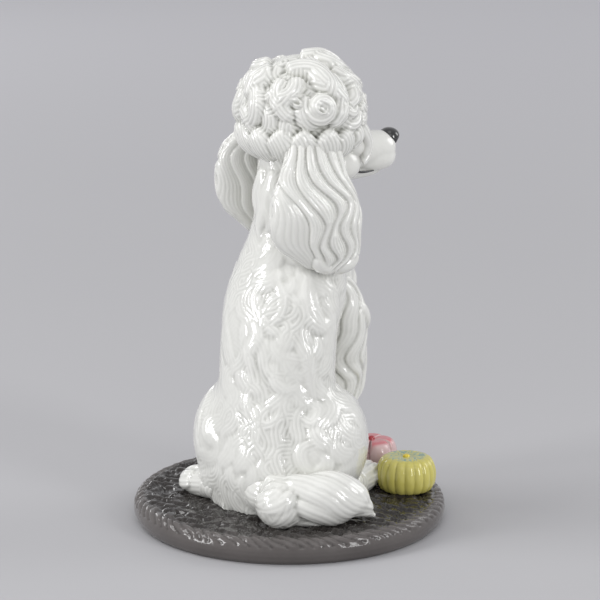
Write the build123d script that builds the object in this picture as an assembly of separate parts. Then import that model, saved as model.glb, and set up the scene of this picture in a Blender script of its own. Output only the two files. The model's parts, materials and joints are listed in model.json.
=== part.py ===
"""A glazed porcelain poodle sitting on a round plinth, with two Japanese sweets beside it.

The dog faces -Y with its head turned to its own right (-X), +Z is up, and the origin is the centre of
the plinth's underside. A figurine like this is slip-cast in several moulds and luted together before
firing, so every casting is its own solid, cut to meet its neighbours face to face. Millimetres.
"""

from build123d import *
import math
import os

# Driving dimensions
PLINTH_RADIUS = 110.0
PLINTH_HEIGHT = 18.0
FIGURE_HEIGHT = 330.0
WALL = 6.0  # thickness of the slip-cast walls
SWEET_RADIUS = 21.2
SWEET_HEIGHT = 25.0
HEAD_YAW = -38.0  # degrees about +Z: the head turns to the dog's right

# Plinth
FOOT_OUTER = PLINTH_RADIUS - 4.0
FOOT_INNER = FOOT_OUTER - 9.0
PLINTH_TOP_RADIUS = PLINTH_RADIUS - 6.0
RECESS_DEPTH = 9.0
VENT_RADIUS = 5.0

# Torso and neck: height, centre on Y, half width on X, half depth on Y
TORSO_SECTIONS = [
    (PLINTH_HEIGHT, 20.0, 44.0, 34.0),
    (45.0, 21.0, 46.0, 38.0),
    (85.0, 20.0, 42.0, 35.0),
    (133.0, 20.0, 41.0, 32.0),
    (160.0, 12.0, 40.0, 31.0),
    (182.0, 4.0, 35.0, 30.0),
    (205.0, 0.0, 26.0, 25.0),
]
NECK_SECTIONS = [
    (205.0, 0.0, 26.0, 25.0),
    (225.0, -1.0, 23.0, 24.0),
    (262.0, -3.0, 22.0, 24.0),
]
CHEST_CENTRE = (0.0, -27.0, 168.0)
CHEST_RADII = (35.0, 43.0, 34.0)  # across, tall and deep, once turned to face forward
CHEST_TURN = (90.0, 0.0, 0.0)

# Legs and feet on the dog's left (+X); the right side mirrors them where the pose allows
HAUNCH_CENTRE = (38.0, 14.0, 60.0)
HAUNCH_RADII = (28.0, 40.0, 42.0)
HAUNCH_PITCH = -10.0
FORELEG = [
    # x, y, z, radius
    (24.0, -24.0, 168.0, 15.0),
    (27.0, -32.0, 140.0, 15.5),
    (26.0, -36.0, 105.0, 14.5),
    (21.0, -36.0, 70.0, 14.0),
    (17.0, -35.0, 40.0, 12.5),
    (15.0, -34.0, PLINTH_HEIGHT, 12.0),
]
FOREPAW_CENTRE = (15.0, -46.0, 26.0)
FOREPAW_RADII = (11.5, 16.0, 11.0)
HIND_FOOT_LEFT = ((47.0, 33.0, 27.0), (32.0, 15.0, 13.5), (0.0, 0.0, -20.0))
HIND_FOOT_RIGHT = ((-41.0, -14.0, 27.0), (11.5, 34.0, 12.0), (0.0, 0.0, -4.0))
TAIL = [
    # x, y, z, radius
    (-4.0, 46.0, 36.0, 11.0),
    (-13.0, 62.0, 36.0, 17.0),
    (-26.0, 68.0, 34.0, 16.0),
    (-43.0, 61.0, 35.0, 17.5),
    (-59.0, 50.0, 34.0, 15.0),
    (-71.0, 40.0, 28.0, 8.0),
    (-78.0, 34.0, 23.0, 3.0),
]

# Head: places are measured from the middle of the topknot, with the dog facing -Y
TOPKNOT_CENTRE = (-4.0, -11.0, 290.0)
TOPKNOT_RADII = (48.0, 47.0, FIGURE_HEIGHT - 290.0)
ROLL_HEIGHT = -20.0
ROLL_RADIUS = 36.0
ROLL_THICKNESS = 9.5
SKULL_CENTRE = (0.0, -5.0, -31.0)
SKULL_RADII = (28.0, 36.0, 27.0)
MUZZLE_SECTIONS = [
    # forward of the middle, height, half width, half height
    (20.0, -36.0, 20.0, 20.0),
    (42.0, -36.5, 16.5, 17.0),
    (56.0, -35.6, 14.0, 15.0),
    (66.0, -34.0, 11.5, 12.5),
    (73.0, -32.0, 7.0, 8.0),
]
NOSE_CENTRE = (0.0, -71.0, -26.0)
NOSE_RADII = (8.5, 6.5, 6.0)
EYE_CENTRE = (15.5, -35.0, -27.0)
EYE_RADIUS = 5.0
EAR = [
    # back of the middle, height, half length along the head
    (10.0, -18.0, 14.0),
    (12.0, -38.0, 24.0),
    (14.0, -66.0, 36.0),
    (11.0, -88.0, 30.0),
    (7.0, -106.0, 12.0),
]
EAR_OUT = 45.0  # from the head's middle plane to the middle of an ear
EAR_FLATNESS = 0.39  # thickness over length

# Sweets
YELLOW_PLACE = (-73.7, -37.7, PLINTH_HEIGHT)
PINK_PLACE = (-31.0, -74.0, PLINTH_HEIGHT)
PINK_RADIUS = 19.5
PINK_HEIGHT = 22.0
PETALS = 5
PETAL_GAP = 1.2
BUTTON_RADIUS = 2.6


def ellipsoid(centre, radii, turn=(0.0, 0.0, 0.0)):
    """A closed ellipsoid with those half axes, turned about its own centre."""
    return Location(centre, turn) * scale(Sphere(1.0), by=tuple(radii))


def tower(sections):
    """A smooth solid through level ellipses given as (height, centre on Y, half width, half depth)."""
    return loft([Location((0, y, z)) * Ellipse(rx, ry) for z, y, rx, ry in sections])


def limb(points):
    """A smooth solid through round sections given as (x, y, z, radius), each square to the path."""
    centres = [Vector(*p[:3]) for p in points]
    last = len(points) - 1
    faces = []
    for i, point in enumerate(points):
        along = centres[min(i + 1, last)] - centres[max(i - 1, 0)]
        faces.append(Plane(centres[i], z_dir=along) * Circle(point[3]))
    return loft(faces)


def level_limb(points):
    """As limb, with every section level, for a leg whose foot stands flat on the plinth."""
    return loft([Location(p[:3]) * Circle(p[3]) for p in points])


def on_head(shape):
    """Puts a shape made about the topknot's middle, facing -Y, where the turned head is."""
    return Location(TOPKNOT_CENTRE, (0, 0, HEAD_YAW)) * shape


def other_side(points):
    """The same points on the dog's right."""
    return [(-p[0], *p[1:]) for p in points]


def less(shape, *others):
    """The shape with its neighbours' solids cut away, keeping its largest piece."""
    for other in others:
        shape = shape - other
    return shape.solids().sort_by(SortBy.VOLUME)[-1]


def grounded(shape):
    """The shape cut level where it meets the plinth's top."""
    reach = 4 * PLINTH_RADIUS
    ground = Location((0, 0, PLINTH_HEIGHT - reach / 2)) * Box(reach, reach, reach)
    return less(shape, ground)


def plinth():
    """Round plinth with a swelling edge, a recessed underside and a vent for the kiln."""
    top = PLINTH_HEIGHT
    profile = Polyline(
        (FOOT_OUTER, 0),
        (FOOT_INNER, 0),
        (FOOT_INNER, RECESS_DEPTH),
        (VENT_RADIUS, RECESS_DEPTH),
        (VENT_RADIUS, top),
        (PLINTH_TOP_RADIUS, top),
    ) + ThreePointArc((PLINTH_TOP_RADIUS, top), (PLINTH_RADIUS, top / 2), (FOOT_OUTER, 0))
    return revolve(Plane.XZ * make_face(profile.edges()), Axis.Z)


def muzzle():
    """Muzzle from the cheeks to its blunt end, made facing -Y about the topknot's middle."""
    faces = [
        Plane((0, -forward, height), x_dir=(1, 0, 0), z_dir=(0, -1, 0)) * Ellipse(half, tall)
        for forward, height, half, tall in MUZZLE_SECTIONS
    ]
    return loft(faces)


def ear(side):
    """One hanging ear, made about the topknot's middle: side is 1 for the left and -1 for the right."""
    faces = [
        Location((side * EAR_OUT, back, height)) * Ellipse(EAR_FLATNESS * half, half)
        for back, height, half in EAR
    ]
    return loft(faces)


def sweet_profile(radius, height, dip):
    """Half outline of a round sweet: flat underneath, full sides and a top sunk by dip."""
    foot = 0.74 * radius
    side = Spline(
        (foot, 0),
        (radius, 0.48 * height),
        (0.80 * radius, 0.92 * height),
        (0.58 * radius, height),
        (0, height - dip),
        tangents=[(1, 0.25), (-1, 0)],
    )
    return make_face((side + Polyline((0, height - dip), (0, 0), (foot, 0))).edges())


def yellow_sweet():
    """Chrysanthemum-shaped sweet, one round body."""
    body = revolve(Plane.XZ * sweet_profile(SWEET_RADIUS, SWEET_HEIGHT, 1.5), Axis.Z)
    return Location(YELLOW_PLACE) * body


def pink_petals():
    """Five thick petals of the blossom-shaped sweet, as separate solids round the core."""
    body = revolve(Plane.XZ * sweet_profile(PINK_RADIUS, PINK_HEIGHT, 1.0), Axis.Z)
    body = body - Cylinder(BUTTON_RADIUS, 4 * PINK_HEIGHT)
    slit = Location((PINK_RADIUS, 0, 0)) * Box(2 * PINK_RADIUS, PETAL_GAP, 4 * PINK_HEIGHT)
    for i in range(PETALS):
        body = body - Location((0, 0, 0), (0, 0, i * 360 / PETALS)) * slit
    return Compound([Location(PINK_PLACE) * petal for petal in body.solids()])


def pink_core():
    """Red heart of the blossom-shaped sweet, from the plinth up to a small dome."""
    stem = Cylinder(BUTTON_RADIUS, PINK_HEIGHT, align=(Align.CENTER, Align.CENTER, Align.MIN))
    dome = Location((0, 0, PINK_HEIGHT)) * Sphere(BUTTON_RADIUS)
    return Location(PINK_PLACE) * (stem + dome)


def yellow_button(body):
    """Small yellow bead in the middle of the chrysanthemum."""
    x, y, z = YELLOW_PLACE
    bead = ellipsoid((x, y, z + SWEET_HEIGHT - 1.2), (BUTTON_RADIUS, BUTTON_RADIUS, 1.8))
    return less(bead, body)


def body_castings():
    """Torso, neck, chest, legs, feet and tail."""
    trunk = tower(TORSO_SECTIONS)
    hollow = tower([(z, y, rx - WALL, ry - WALL) for z, y, rx, ry in TORSO_SECTIONS])
    neck = tower(NECK_SECTIONS)
    bore = tower([(z, y, rx - WALL, ry - WALL) for z, y, rx, ry in NECK_SECTIONS])
    chest = less(ellipsoid(CHEST_CENTRE, CHEST_RADII, CHEST_TURN), trunk, neck)
    parts = {"torso": trunk - hollow, "neck": neck - bore, "chest_ruff": chest}

    haunches = {}
    for name, centre in (("left", HAUNCH_CENTRE), ("right", (-HAUNCH_CENTRE[0], *HAUNCH_CENTRE[1:]))):
        outline = ellipsoid(centre, HAUNCH_RADII, (HAUNCH_PITCH, 0, 0))
        inside = ellipsoid(centre, [r - WALL for r in HAUNCH_RADII], (HAUNCH_PITCH, 0, 0))
        haunches[name] = grounded(less(outline, trunk))
        parts[f"{name}_haunch"] = less(haunches[name], inside)
    solid_haunches = list(haunches.values())

    for name, points in (("left", FORELEG), ("right", other_side(FORELEG))):
        leg = less(level_limb(points), chest, trunk, *solid_haunches)
        parts[f"{name}_foreleg"] = leg
        side = 1 if name == "left" else -1
        paw = ellipsoid((side * FOREPAW_CENTRE[0], *FOREPAW_CENTRE[1:]), FOREPAW_RADII)
        parts[f"{name}_forepaw"] = grounded(less(paw, leg))

    for name, (centre, radii, turn) in (("left", HIND_FOOT_LEFT), ("right", HIND_FOOT_RIGHT)):
        foot = less(ellipsoid(centre, radii, turn), trunk, *solid_haunches)
        parts[f"{name}_hind_foot"] = grounded(foot)

    tail = less(limb(TAIL), trunk, *solid_haunches, parts["left_hind_foot"])
    parts["tail"] = grounded(tail)
    return parts, trunk, neck


def head_castings(neighbours):
    """Skull, muzzle, nose, eyes, topknot, its rolled edge and the two ears."""
    neck = neighbours["neck"]
    skull_outline = on_head(ellipsoid(SKULL_CENTRE, SKULL_RADII))
    skull_inside = on_head(ellipsoid(SKULL_CENTRE, [r - WALL for r in SKULL_RADII]))
    skull = less(skull_outline, neck)
    nose = on_head(ellipsoid(NOSE_CENTRE, NOSE_RADII))
    snout = less(on_head(muzzle()), skull_outline, neck)
    cap = less(on_head(ellipsoid((0, 0, 0), TOPKNOT_RADII)), skull_outline, snout, neck)
    cap_inside = on_head(ellipsoid((0, 0, 2), [r - WALL for r in TOPKNOT_RADII]))
    roll = on_head(Location((0, 2, ROLL_HEIGHT)) * Torus(ROLL_RADIUS, ROLL_THICKNESS))
    roll = less(roll, cap, skull_outline, snout, neck)
    parts = {
        "skull": less(skull, skull_inside),
        "muzzle": less(snout, nose),
        "nose": nose,
        "topknot": less(cap, cap_inside),
        "topknot_roll": roll,
    }
    for name, side in (("left", 1), ("right", -1)):
        eye = on_head(ellipsoid((side * EYE_CENTRE[0], *EYE_CENTRE[1:]), [EYE_RADIUS] * 3))
        parts[f"{name}_eye"] = less(eye, skull_outline, snout, cap, roll)
        flap = on_head(ear(side))
        parts[f"{name}_ear"] = less(
            flap, cap, roll, skull_outline, neck, neighbours["trunk"], neighbours["chest"]
        )
    return parts


def main():
    parts, trunk, neck = body_castings()
    parts.update(head_castings({"trunk": trunk, "neck": neck, "chest": parts["chest_ruff"]}))
    parts["plinth"] = plinth()
    parts["yellow_sweet"] = yellow_sweet()
    parts["yellow_sweet_button"] = yellow_button(parts["yellow_sweet"])
    parts["pink_sweet_petals"] = pink_petals()
    parts["pink_sweet_core"] = pink_core()
    return parts


os.makedirs("parts", exist_ok=True)
for name, shape in main().items():
    export_step(shape, f"parts/{name}.step")
    print(name, round(shape.volume))
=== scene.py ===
import bpy
import bmesh
import json
import math
import numpy as np
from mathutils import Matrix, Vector
from mathutils.bvhtree import BVHTree
from mathutils.kdtree import KDTree

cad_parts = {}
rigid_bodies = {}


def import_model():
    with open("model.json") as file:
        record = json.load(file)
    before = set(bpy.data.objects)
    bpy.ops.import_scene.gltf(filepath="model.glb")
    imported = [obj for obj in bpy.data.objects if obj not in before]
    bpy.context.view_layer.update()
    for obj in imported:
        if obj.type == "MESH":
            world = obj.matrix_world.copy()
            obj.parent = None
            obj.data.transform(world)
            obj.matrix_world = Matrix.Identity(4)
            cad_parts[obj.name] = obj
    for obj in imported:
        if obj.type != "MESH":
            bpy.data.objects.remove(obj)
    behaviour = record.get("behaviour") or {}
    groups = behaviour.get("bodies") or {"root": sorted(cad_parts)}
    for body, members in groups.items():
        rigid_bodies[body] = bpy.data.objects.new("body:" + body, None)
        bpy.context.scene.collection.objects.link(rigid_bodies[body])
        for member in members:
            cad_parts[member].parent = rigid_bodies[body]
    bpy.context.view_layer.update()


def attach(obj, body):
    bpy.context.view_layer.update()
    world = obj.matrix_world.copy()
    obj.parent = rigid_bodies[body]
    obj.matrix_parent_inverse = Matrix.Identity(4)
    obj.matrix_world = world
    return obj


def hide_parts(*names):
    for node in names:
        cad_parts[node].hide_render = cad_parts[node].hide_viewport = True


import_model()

# %% [markdown]
# ## Working units
# The frame is in metres. Modelling numbers are easier to read in millimetres, so they are turned into
# metres once, where a mesh is made.
# %% Sizes shared by several pieces
MM = 0.001
PLINTH_TOP = 18.0
PLINTH_RADIUS = 110.0
HEAD_YAW = -38.0  # degrees: the head looks to the dog's right
TOPKNOT_CENTRE = (-4.0, -11.0, 290.0)


def on_head(points):
    """Turns points made about the topknot's middle, facing -Y, to where the turned head is."""
    a = math.radians(HEAD_YAW)
    turn = np.array([[math.cos(a), math.sin(a), 0], [-math.sin(a), math.cos(a), 0], [0, 0, 1]])
    return np.asarray(points, float) @ turn + TOPKNOT_CENTRE


print("nose end:", on_head((0, -77, -26)).round(1))

# %% [markdown]
# ## A smooth line through a few values
# Potters judge a curve by a few places on it. This helper runs a smooth line through rows of values, so
# a bulk or a lock of hair needs only a handful of numbers.
# %% Smooth lines


def through(rows, t):
    """Values on a smooth line through evenly spaced rows, for t from 0 to 1."""
    rows = np.asarray(rows, float)
    last = len(rows) - 1
    x = np.clip(np.asarray(t, float), 0, 1) * last
    i = np.minimum(x.astype(int), last - 1)
    f = (x - i).reshape(x.shape + (1,) * (rows.ndim - 1))
    a, b, c, d = (rows[np.clip(i + k, 0, last)] for k in (-1, 0, 1, 2))
    return 0.5 * (2 * b + (c - a) * f + (2 * a - 5 * b + 4 * c - d) * f**2 + (3 * b - a - 3 * c + d) * f**3)


def unit(v):
    return v / (np.linalg.norm(v, axis=-1, keepdims=True) + 1e-12)


print("halfway between 0 and 10:", float(through([0.0, 10.0], 0.5)))

# %% [markdown]
# ## Bulks
# A modeller starts with plain rolls of clay. A bulk is such a roll: ellipses strung on a smooth line. It
# also works as a chart, because any spot on it has two numbers, how far round and how far along it is.
# Locks of hair are later laid by those numbers, with no need to know where the spot is in the room.
# %% Bulks strung on a line


class Bulk:
    """Ellipses strung on a line, as rows of x, y, z, half width, half depth.

    A spot on it is (turn in degrees round it, reach from 0 to 1 along it). A level bulk has level
    ellipses. Any other has ellipses square to its line, with turn 90 on top.
    """

    def __init__(self, rows, level=True, place=lambda points: points):
        self.rows, self.level, self.place = rows, level, place

    def axes(self, reach):
        row = through(self.rows, reach)
        if self.level:
            side, deep = np.zeros(row[..., :3].shape), np.zeros(row[..., :3].shape)
            side[..., 0], deep[..., 1] = 1, 1
            return row, side, deep
        rows = np.asarray(self.rows, float)[:, :3]
        along = unit(through(rows, np.asarray(reach) + 0.01) - through(rows, np.asarray(reach) - 0.01))
        side = unit(np.cross(along, [0.0, 0.0, 1.0]))
        return row, side, np.cross(side, along)

    def spot(self, turn, reach):
        row, side, deep = self.axes(reach)
        a = np.radians(np.asarray(turn, float))[..., None]
        return self.place(
            row[..., :3] + np.cos(a) * row[..., 3:4] * side + np.sin(a) * row[..., 4:5] * deep
        )

    def core(self, turn, reach):
        return self.place(through(self.rows, reach)[..., :3])

    def rings(self, count=48, around=72):
        turn, reach = np.meshgrid(np.arange(around) * 360 / around, np.linspace(0, 1, count))
        return self.spot(turn, reach)


roll = Bulk([(0, 0, 0, 5, 5), (0, 0, 20, 5, 5)])
print("a spot halfway up a roll:", roll.spot(0, 0.5).round(2))

# %% [markdown]
# ## Domes
# Heads, haunches and paws start as balls. A dome is an ellipsoid charted like a globe, with a bearing
# round it and a height up it, and it can be pitched forwards or back.
# %% Domes


class Dome:
    """An ellipsoid. A spot on it is (bearing, height), both in degrees: bearing 0 is its +Y side and
    90 its -X side, and height 90 is its top."""

    def __init__(self, centre, radii, place=lambda points: points, pitch=0.0):
        self.centre, self.radii, self.place = np.array(centre, float), np.array(radii, float), place
        a = math.radians(pitch)
        self.tilt = np.array([[1, 0, 0], [0, math.cos(a), math.sin(a)], [0, -math.sin(a), math.cos(a)]])

    def spot(self, bearing, height):
        b, h = np.radians(np.asarray(bearing, float)), np.radians(np.asarray(height, float))
        d = np.stack([-np.sin(b) * np.cos(h), np.cos(b) * np.cos(h), np.sin(h)], -1)
        return self.place((d * self.radii) @ self.tilt + self.centre)

    def core(self, bearing, height):
        return self.place(np.zeros(np.shape(bearing) + (3,)) + self.centre)

    def rings(self, count=40, around=64):
        bearing, height = np.meshgrid(np.arange(around) * 360 / around, np.linspace(-89, 89, count))
        return self.spot(bearing, height)


ball = Dome((0, 0, 0), (10, 10, 10))
print("the top of a ball:", ball.spot(0, 90).round(2))

# %% [markdown]
# ## Strokes over a bulk
# A modeller lays each lock of hair with one stroke of the hand: it sets off one way, bends and stops.
# A stroke here is the same, a list of spots on a bulk that starts with a heading and turns as it goes,
# like a comma. To lay anything on a bulk, its outward direction has to be known, and that is felt by
# taking two short steps over its surface.
# %% Feel a surface and lay a stroke on it
TURN_STEP = 0.4  # degrees round a form, for feeling which way it faces
REACH_STEP = 0.004  # the same along a bulk, as a share of its length


def facing(form, u, v):
    """Points and outward directions of a form at those spots."""
    du, dv = (TURN_STEP, TURN_STEP) if isinstance(form, Dome) else (TURN_STEP, REACH_STEP)
    point = form.spot(u, v)
    round_it = form.spot(u + du, v) - form.spot(u - du, v)
    along_it = form.spot(u, v + dv) - form.spot(u, v - dv)
    out = unit(np.cross(round_it, along_it))
    wrong = np.sum(out * (point - form.core(u, v)), -1, keepdims=True) < 0
    return point, np.where(wrong, -out, out)


def stroke(form, u, v, heading, length, bend, steps=12):
    """Spots from (u, v) on: heading 0 goes up the form and 90 to the right; bend is the whole turn."""
    spots = [(u, v)]
    top = 89.0 if isinstance(form, Dome) else 0.995
    for k in range(steps):
        h = math.radians(heading + bend * (k + 0.5) / steps)
        du, dv = (1.0, 1.0) if isinstance(form, Dome) else (1.0, 0.01)
        here = form.spot(np.array(u), np.array(v))
        wide = np.linalg.norm(form.spot(np.array(u + du), np.array(v)) - here) / du
        tall = np.linalg.norm(form.spot(np.array(u), np.array(v + dv)) - here) / dv
        u += length / steps * math.sin(h) / max(wide, 0.15)
        v = min(v + length / steps * math.cos(h) / max(tall, 0.1), top)
        spots.append((u, v))
    return spots


print("a stroke on a ball ends at", np.round(stroke(ball, 0, 0, 45, 12, 60)[-1], 1))

# %% [markdown]
# ## Locks of hair
# On the real figure a lock is a roll of clay, thick in the middle and thinner where it starts and ends.
# Here it is a flattened tube that follows a line over the surface. It could be a curve with a bevel, but
# a tube worked out ring by ring keeps its flat side on the body all the way. The tubes stay plain: the
# comb goes over them once they are fused, so each lock also leaves its centre line in a list.
# %% Lay a lock along a line
laid = []  # centre lines and outward directions of the locks laid since the last combing


def skin(rings):
    """Closed skin of triangles over an array of rings of points."""
    n, m = rings.shape[:2]
    verts = np.vstack([rings.reshape(-1, 3), rings[:1].mean(1), rings[-1:].mean(1)])
    i, j = np.arange(n - 1)[:, None] * m, np.arange(m)[None]
    a, b, c, d = (x.ravel() for x in (i + j, i + (j + 1) % m, i + m + (j + 1) % m, i + m + j))
    j, k = np.arange(m), (np.arange(m) + 1) % m
    first, last = np.full(m, n * m), np.full(m, n * m + 1)
    start = (n - 1) * m
    faces = [(a, b, c), (a, c, d), (k, j, first), (start + j, start + k, last)]
    return verts, np.vstack([np.stack(f, -1) for f in faces])


def lock_on(points, out, width, height, root=0.6, tip=0.35, around=28, sink=0.25):
    """A lock along points, with its outer side towards out. Root and tip are shares of its full size,
    and sink is the share of its height that lies in the surface."""
    laid.append((points, out))
    t = np.linspace(0, 1, len(points))
    along = unit(np.gradient(points, axis=0))
    across = unit(np.cross(along, out))
    up = np.cross(across, along)
    swell = through([root, 0.92, 1.0, 0.8, tip], t) * np.sqrt(np.clip(t / 0.08, 0.02, 1))
    swell = (swell * np.sqrt(np.clip((1 - t) / 0.12, 0.02, 1)))[:, None, None]
    a = np.arange(around) * 2 * math.pi / around
    sideways = np.cos(a)[None, :, None] * width * swell * across[:, None]
    return skin(points[:, None] + sideways + (np.sin(a)[None, :, None] - sink) * height * swell * up[:, None])


def lock(form, spots, width, height, lift=(0.0, 0.0), rings=34, **shape):
    """A lock over spots of a form. Lift is how far its root and its tip stand off."""
    t = np.linspace(0, 1, rings)
    u, v = through(np.array(spots, float), t).T
    point, out = facing(form, u, v)
    return lock_on(point + out * through(np.array(lift, float), t)[:, None], out, width, height, **shape)


def snail(form, u, v, radius, turns, start, width, height):
    """A curl wound on itself like a snail's shell: it rises as it winds in."""
    t = np.linspace(0, 1, int(30 * turns))
    middle, out = (x[0] for x in facing(form, np.array([u]), np.array([v])))
    right = unit(np.cross([0.0, 0.0, 1.0], out))
    over = np.cross(out, right)
    a = math.radians(start) + t * turns * 2 * math.pi
    r = (radius * (1 - 0.97 * t**0.85))[:, None]
    rise = out * (t**1.5 * height * 0.55)[:, None]
    points = middle + r * (np.cos(a)[:, None] * right + np.sin(a)[:, None] * over) + rise
    return lock_on(points, np.zeros((len(t), 3)) + out, width, height, tip=0.9)


print("points in one lock:", len(lock(ball, stroke(ball, 0, 0, 45, 12, 60), 2, 1)[0]))
laid.clear()

# %% [markdown]
# ## Meshes and their points
# Blender keeps a mesh's points in its own store. Copying them to a numpy array and back in one go is far
# quicker than visiting them one at a time, which matters with hundreds of thousands of points.
# %% Points in and out of a mesh


def as_mesh(name, verts, faces):
    mesh = bpy.data.meshes.new(name)
    mesh.from_pydata(np.asarray(verts, float) * MM, [], np.asarray(faces).tolist())
    mesh.update()
    return mesh


def together(parts):
    """One list of points and one of faces from several."""
    verts, faces, count = [], [], 0
    for v, f in parts:
        verts.append(v)
        faces.append(np.asarray(f) + count)
        count += len(v)
    return np.vstack(verts), np.vstack(faces)


def points_of(mesh):
    co = np.empty(len(mesh.vertices) * 3)
    mesh.vertices.foreach_get("co", co)
    return co.reshape(-1, 3) / MM


def edges_of(mesh):
    ends = np.empty(len(mesh.edges) * 2, int)
    mesh.edges.foreach_get("vertices", ends)
    return ends.reshape(-1, 2)


def normals_of(mesh):
    out = np.empty(len(mesh.vertices) * 3)
    mesh.vertex_normals.foreach_get("vector", out)
    return out.reshape(-1, 3)


def put_points(mesh, points):
    mesh.vertices.foreach_set("co", (points * MM).ravel())
    mesh.update()


def face_outwards(mesh):
    """Turns every face of a closed mesh to look out."""
    work = bmesh.new()
    work.from_mesh(mesh)
    bmesh.ops.recalc_face_normals(work, faces=work.faces)
    work.to_mesh(mesh)
    work.free()


trial = as_mesh("trial_ball", *skin(ball.rings()))
print("a ball's farthest point, in millimetres:", np.linalg.norm(points_of(trial), axis=1).max().round(2))
bpy.data.meshes.remove(trial)

# %% [markdown]
# ## Fusing and softening
# Slip runs into every joint, and the glaze fills sharp valleys. A voxel remesh does the first, since it
# keeps only the outer skin of all the lumps together. A boolean union would do it too, but it is slow
# and fragile with hundreds of crossing locks. A few rounds of averaging each point with its neighbours
# do the second.
# %% Fuse and soften


def neighbour_sums(values, ends):
    """For each point, a value summed over the points it shares an edge with."""
    a, b = ends.T
    return np.bincount(a, values[b], len(values)) + np.bincount(b, values[a], len(values))


def averaged(values, ends, rounds, share=0.5):
    """Each value drawn towards the mean of its neighbours, several times."""
    count = np.bincount(ends.ravel(), minlength=len(values))[:, None]
    for _ in range(rounds):
        total = np.stack([neighbour_sums(x, ends) for x in values.T], -1)
        values = values + share * (total / np.maximum(count, 1) - values)
    return values


def largest_part(mesh):
    """Drops any small shell left inside, so that the skin is one closed surface."""
    ends = edges_of(mesh)
    label = np.arange(len(mesh.vertices))
    while True:
        low = np.minimum(label[ends[:, 0]], label[ends[:, 1]])
        new = label.copy()
        np.minimum.at(new, ends[:, 0], low)
        np.minimum.at(new, ends[:, 1], low)
        new = new[new]
        if np.array_equal(new, label):
            break
        label = new
    keep = np.bincount(label).argmax()
    if (label == keep).all():
        return
    work = bmesh.new()
    work.from_mesh(mesh)
    stray = [v for v, mark in zip(work.verts, label) if mark != keep]
    bmesh.ops.delete(work, geom=stray, context="VERTS")
    work.to_mesh(mesh)
    work.free()


def fuse(name, parts, voxel, soften=3):
    """The outer skin of several closed lumps as a mesh, with a voxel size in millimetres, softened."""
    rough = bpy.data.objects.new(name, as_mesh(name, *together(parts)))
    bpy.context.scene.collection.objects.link(rough)
    remesh = rough.modifiers.new("fuse", "REMESH")
    remesh.mode, remesh.voxel_size = "VOXEL", voxel * MM
    mesh = bpy.data.meshes.new_from_object(rough.evaluated_get(bpy.context.evaluated_depsgraph_get()))
    bpy.data.objects.remove(rough)
    mesh.name = name
    largest_part(mesh)
    put_points(mesh, averaged(points_of(mesh), edges_of(mesh), soften))
    return mesh


trial = fuse("trial_pair", [skin(ball.rings()), skin(Dome((0, 0, 12), (8, 8, 8)).rings())], voxel=1.0)
print("two balls fused:", len(trial.vertices), "points")
bpy.data.meshes.remove(trial)

# %% [markdown]
# ## The comb
# The strands in the coat are comb marks: fine grooves that run side by side along each lock. They could
# be painted as a bump, but real grooves catch the light at the outline too. Each point of the fused skin
# looks up the nearest centre line among the locks laid, and its distance aside from that line says
# whether it lies in a groove or on a strand.
# %% Comb a fused coat
COMB_GAP = 2.8  # millimetres from one groove to the next


def comb_along(mesh, spacing, depth):
    """Presses fine grooves beside the centre line of the nearest lock laid, then forgets the lines."""
    points, out = points_of(mesh), normals_of(mesh)
    middles = np.vstack([line for line, _ in laid])
    along = np.vstack([unit(np.gradient(line, axis=0)) for line, _ in laid])
    side = unit(np.cross(along, np.vstack([face for _, face in laid])))
    tree = KDTree(len(middles))
    for k, middle in enumerate(middles):
        tree.insert(middle, k)
    tree.balance()
    nearest = np.array([tree.find(p)[1] for p in points])
    aside = np.sum((points - middles[nearest]) * side[nearest], -1)
    groove = (0.5 + 0.5 * np.cos(2 * math.pi * aside / spacing)) ** 1.5
    put_points(mesh, points - out * (depth * groove)[:, None])
    laid.clear()
    print("combed", mesh.name, "along", len(middles), "points of its locks")


# %% [markdown]
# ## Hollows and placing
# Glaze is thicker in a valley than on a crest, and looks greyer there; the glazes here also grey the
# valleys as painted shade. The difference between a point and its wider surroundings says how deep it
# lies, so that is kept with the mesh as an attribute, which the glaze reads. Then the piece goes into
# the scene in place of the plain castings of the frame.
# %% Note the hollows and place a piece


def note_hollows(mesh, rounds=10, full=0.5):
    """Stores 0 on crests to 1 in hollows, where full is a hollow's depth in millimetres."""
    points, ends = points_of(mesh), edges_of(mesh)
    depth = np.sum((averaged(points, ends, rounds, 0.6) - points) * normals_of(mesh), -1)
    hollow = averaged(np.clip(0.5 + 0.5 * depth / full, 0, 1)[:, None], ends, 1)[:, 0]
    mesh.attributes.new("hollow", "FLOAT", "POINT").data.foreach_set("value", hollow)


def place_piece(name, mesh, material, slot, *nodes):
    """Puts a finished mesh in the scene in place of those CAD nodes."""
    note_hollows(mesh)
    mesh.shade_smooth()
    mesh.materials.append(material)
    piece = bpy.data.objects.new(name, mesh)
    bpy.context.scene.collection.objects.link(piece)
    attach(piece, "root")
    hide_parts(*nodes)
    print(name, len(mesh.polygons), "faces")
    return piece


# %% [markdown]
# ## Glaze
# Glaze is coloured glass. It runs thin off crests and pools in hollows, where it looks deeper, and its
# hollows are also painted darker as painted shade. Up close it ripples slightly, like orange peel. Both
# effects belong to every glaze here, so each is a node group built once and placed in each material
# with its own values. A few short helpers come first, since most nodes are made and linked in the same
# way.
# %% Helpers for nodes


def new_group(name, inputs, outputs):
    group = bpy.data.node_groups.new(name, "ShaderNodeTree")
    for in_out, sockets in (("INPUT", inputs), ("OUTPUT", outputs)):
        for label, kind in sockets:
            group.interface.new_socket(name=label, in_out=in_out, socket_type=kind)
    return group, group.nodes.new("NodeGroupInput"), group.nodes.new("NodeGroupOutput")


def math_node(tree, operation, *values, clamp=False):
    node = tree.nodes.new("ShaderNodeMath")
    node.operation, node.use_clamp = operation, clamp
    for socket, value in zip(node.inputs, values):
        if isinstance(value, (int, float)):
            socket.default_value = value
        else:
            tree.links.new(value, socket)
    return node.outputs[0]


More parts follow.
